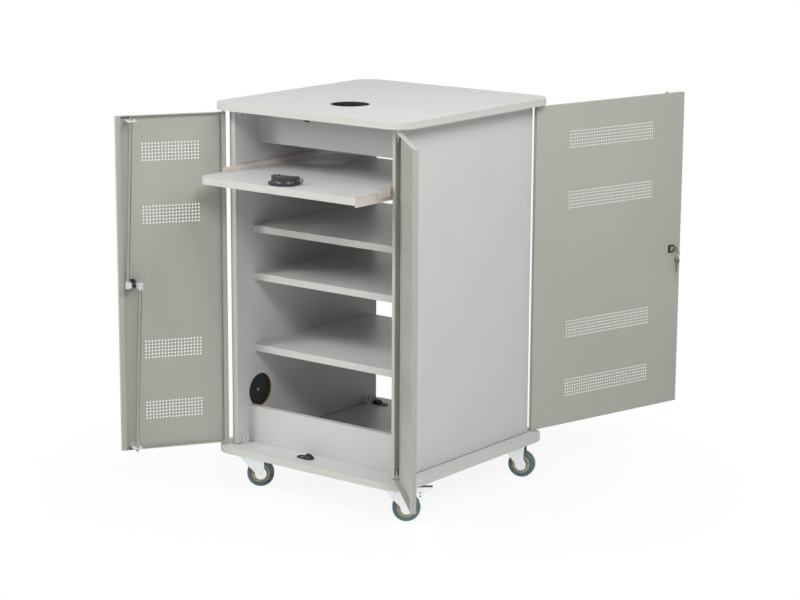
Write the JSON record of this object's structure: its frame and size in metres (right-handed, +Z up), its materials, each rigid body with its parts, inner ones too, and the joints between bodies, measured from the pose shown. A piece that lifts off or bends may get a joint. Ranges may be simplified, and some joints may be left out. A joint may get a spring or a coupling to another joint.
{
  "type": "mobile multimedia cabinet",
  "caption": "Lockable equipment cabinet on castors with fixed shelves, a pull-out shelf carrying a security anchor, two vented front leaves and a full-width vented rear door.",
  "frame": {"origin": "on the floor, in the middle of the boards' plan", "axes": "+X to the right as one faces the front, +Y to the back, +Z up"},
  "size_m": [0.9775, 1.4168, 1.07],
  "materials": {
    "melamine_board": "light grey melamine on chipboard, satin",
    "door_paint": "warm grey powder coat, satin",
    "runner_paint": "cream enamel on sheet steel",
    "zinc_steel": "bright zinc plate",
    "nickel_plate": "worn nickel plate",
    "white_plastic": "white nylon",
    "black_plastic": "black nylon",
    "black_metal": "black coated zinc casting",
    "anchor_shell": "glossy blue-black moulding",
    "tyre_rubber": "slate blue-grey solid rubber",
    "hub_plastic": "tan moulded wheel centre",
    "pedal_paint": "slate coated steel"
  },
  "bodies": {
    "cabinet": {"top_board": "melamine_board", "cable_hole_liner": "black_plastic", "base_board": "melamine_board", "side_panel_left": "melamine_board", "side_panel_right": "melamine_board", "kick_panel": "melamine_board", "front_fascia": "melamine_board", "lower_shelf": "melamine_board", "middle_shelf": "melamine_board", "upper_shelf": "melamine_board", "shelf_pins": "zinc_steel", "panel_connectors": "white_plastic", "port_plug": "black_plastic", "fixing_screws": "zinc_steel", "rod_keeps": "black_plastic", "pivot_pins": "zinc_steel", "pivot_bushes": "white_plastic", "cabinet_runners": "runner_paint", "castor_plates": "zinc_steel"},
    "middle_runners": {"middle_runners": "runner_paint"},
    "roller_left": {"roller_left": "white_plastic"},
    "roller_right": {"roller_right": "white_plastic"},
    "pullout_shelf": {"pullout_shelf": "melamine_board", "shelf_runners": "runner_paint", "anchor_body": "anchor_shell", "anchor_lock": "zinc_steel"},
    "left_leaf": {"left_leaf": "door_paint", "left_pivot_blocks": "white_plastic", "front_lock_body": "black_metal", "front_rod_guides": "white_plastic"},
    "front_cam": {"front_cam": "zinc_steel"},
    "front_upper_rod": {"front_upper_rod": "zinc_steel"},
    "front_lower_rod": {"front_lower_rod": "zinc_steel"},
    "right_leaf": {"right_leaf": "door_paint", "right_pivot_blocks": "white_plastic"},
    "rear_door": {"rear_door": "door_paint", "rear_pivot_blocks": "white_plastic", "rear_lock_body": "black_metal", "rear_rod_guides": "white_plastic"},
    "rear_cam": {"rear_cam": "zinc_steel", "lock_key": "nickel_plate"},
    "rear_upper_rod": {"rear_upper_rod": "zinc_steel"},
    "rear_lower_rod": {"rear_lower_rod": "zinc_steel"},
    "key_ring": {"key_ring": "nickel_plate", "spare_key": "nickel_plate"},
    "fork_front_left": {"fork_front_left": "zinc_steel"},
    "wheel_front_left": {"tyre_front_left": "tyre_rubber", "hub_front_left": "hub_plastic"},
    "fork_front_right": {"fork_front_right": "zinc_steel"},
    "wheel_front_right": {"tyre_front_right": "tyre_rubber", "hub_front_right": "hub_plastic"},
    "fork_rear_left": {"fork_rear_left": "zinc_steel"},
    "wheel_rear_left": {"tyre_rear_left": "tyre_rubber", "hub_rear_left": "hub_plastic"},
    "fork_rear_right": {"fork_rear_right": "zinc_steel"},
    "wheel_rear_right": {"tyre_rear_right": "tyre_rubber", "hub_rear_right": "hub_plastic"},
    "brake_front_right": {"brake_front_right": "pedal_paint"},
    "brake_rear_left": {"brake_rear_left": "pedal_paint"}
  },
  "joints": [
    {"name": "left_leaf_hinge", "type": "hinge", "parent": "cabinet", "child": "left_leaf", "pos_m": [-0.297, -0.3175, 0.1265], "axis": [0, 0, -1], "range_deg": [-44.2, 141.8]},
    {"name": "right_leaf_hinge", "type": "hinge", "parent": "cabinet", "child": "right_leaf", "pos_m": [0.297, -0.3175, 0.1265], "axis": [0, 0, 1], "range_deg": [-57, 129]},
    {"name": "rear_door_hinge", "type": "hinge", "parent": "cabinet", "child": "rear_door", "pos_m": [0.297, 0.3075, 0.1265], "axis": [0, 0, -1], "range_deg": [-104.6, 150.4]},
    {"name": "shelf_slide", "type": "slide", "parent": "cabinet", "child": "pullout_shelf", "axis": [0, -1, 0], "range_m": [-0.1595, 0.2605]},
    {"name": "middle_slide", "type": "slide", "parent": "cabinet", "child": "middle_runners", "axis": [0, -1, 0], "range_m": [-0.07975, 0.13025]},
    {"name": "roller_turn_left", "type": "hinge", "parent": "middle_runners", "child": "roller_left", "pos_m": [-0.261, -0.33575, 0.882], "axis": [1, 0, 0], "continuous": true},
    {"name": "roller_turn_right", "type": "hinge", "parent": "middle_runners", "child": "roller_right", "pos_m": [0.261, -0.33575, 0.882], "axis": [1, 0, 0], "continuous": true},
    {"name": "front_lock_turn", "type": "hinge", "parent": "left_leaf", "child": "front_cam", "pos_m": [-0.41541, -0.54775, 0.588], "axis": [0.8368, -0.5476, 0], "range_deg": [-90, 0]},
    {"name": "front_upper_rod_turn", "type": "hinge", "parent": "front_cam", "child": "front_upper_rod", "pos_m": [-0.42471, -0.56198, 0.588], "axis": [0.8368, -0.5476, 0], "range_deg": [-0.5, 93.5]},
    {"name": "front_lower_rod_turn", "type": "hinge", "parent": "front_cam", "child": "front_lower_rod", "pos_m": [-0.4061, -0.53353, 0.588], "axis": [0.8368, -0.5476, 0], "range_deg": [-0.5, 93.5]},
    {"name": "rear_lock_turn", "type": "hinge", "parent": "rear_door", "child": "rear_cam", "pos_m": [0.4017, 0.81655, 0.588], "axis": [-0.9677, 0.2521, 0], "range_deg": [-90, 0]},
    {"name": "rear_upper_rod_turn", "type": "hinge", "parent": "rear_cam", "child": "rear_upper_rod", "pos_m": [0.40598, 0.833, 0.588], "axis": [-0.9677, 0.2521, 0], "range_deg": [-0.5, 93.5]},
    {"name": "rear_lower_rod_turn", "type": "hinge", "parent": "rear_cam", "child": "rear_lower_rod", "pos_m": [0.39741, 0.8001, 0.588], "axis": [-0.9677, 0.2521, 0], "range_deg": [-0.5, 93.5]},
    {"name": "key_ring_swing", "type": "hinge", "parent": "rear_cam", "child": "key_ring", "pos_m": [0.46073, 0.80117, 0.5866], "axis": [0.2521, 0.9677, 0], "range_deg": [-80, 15]},
    {"name": "castor_front_left_swivel", "type": "hinge", "parent": "cabinet", "child": "fork_front_left", "pos_m": [-0.2545, -0.288, 0.095], "axis": [0, 0, 1], "continuous": true},
    {"name": "castor_front_left_wheel", "type": "hinge", "parent": "fork_front_left", "child": "wheel_front_left", "pos_m": [-0.22233, -0.261, 0.0375], "axis": [-0.6428, 0.766, 0], "continuous": true},
    {"name": "castor_front_right_swivel", "type": "hinge", "parent": "cabinet", "child": "fork_front_right", "pos_m": [0.2545, -0.288, 0.095], "axis": [0, 0, 1], "continuous": true},
    {"name": "castor_front_right_wheel", "type": "hinge", "parent": "fork_front_right", "child": "wheel_front_right", "pos_m": [0.28667, -0.261, 0.0375], "axis": [-0.6428, 0.766, 0], "continuous": true},
    {"name": "castor_front_right_brake", "type": "hinge", "parent": "fork_front_right", "child": "brake_front_right", "pos_m": [0.26522, -0.279, 0.074], "axis": [-0.6428, 0.766, 0], "range_deg": [0, 7.5]},
    {"name": "castor_rear_left_swivel", "type": "hinge", "parent": "cabinet", "child": "fork_rear_left", "pos_m": [-0.2545, 0.2515, 0.095], "axis": [0, 0, 1], "continuous": true},
    {"name": "castor_rear_left_wheel", "type": "hinge", "parent": "fork_rear_left", "child": "wheel_rear_left", "pos_m": [-0.21456, 0.26448, 0.0375], "axis": [-0.309, 0.9511, 0], "continuous": true},
    {"name": "castor_rear_left_brake", "type": "hinge", "parent": "fork_rear_left", "child": "brake_rear_left", "pos_m": [-0.24119, 0.25583, 0.074], "axis": [-0.309, 0.9511, 0], "range_deg": [0, 7.5]},
    {"name": "castor_rear_right_swivel", "type": "hinge", "parent": "cabinet", "child": "fork_rear_right", "pos_m": [0.2545, 0.2515, 0.095], "axis": [0, 0, 1], "continuous": true},
    {"name": "castor_rear_right_wheel", "type": "hinge", "parent": "fork_rear_right", "child": "wheel_rear_right", "pos_m": [0.29444, 0.26448, 0.0375], "axis": [-0.309, 0.9511, 0], "continuous": true}
  ],
  "couplings": [
    {"joint": "middle_slide", "follows": "shelf_slide", "ratio": 0.5},
    {"joint": "front_upper_rod_turn", "follows": "front_lock_turn", "ratio": -1.0243},
    {"joint": "front_lower_rod_turn", "follows": "front_lock_turn", "ratio": -1.0239},
    {"joint": "rear_upper_rod_turn", "follows": "rear_lock_turn", "ratio": -1.0243},
    {"joint": "rear_lower_rod_turn", "follows": "rear_lock_turn", "ratio": -1.0239}
  ]
}
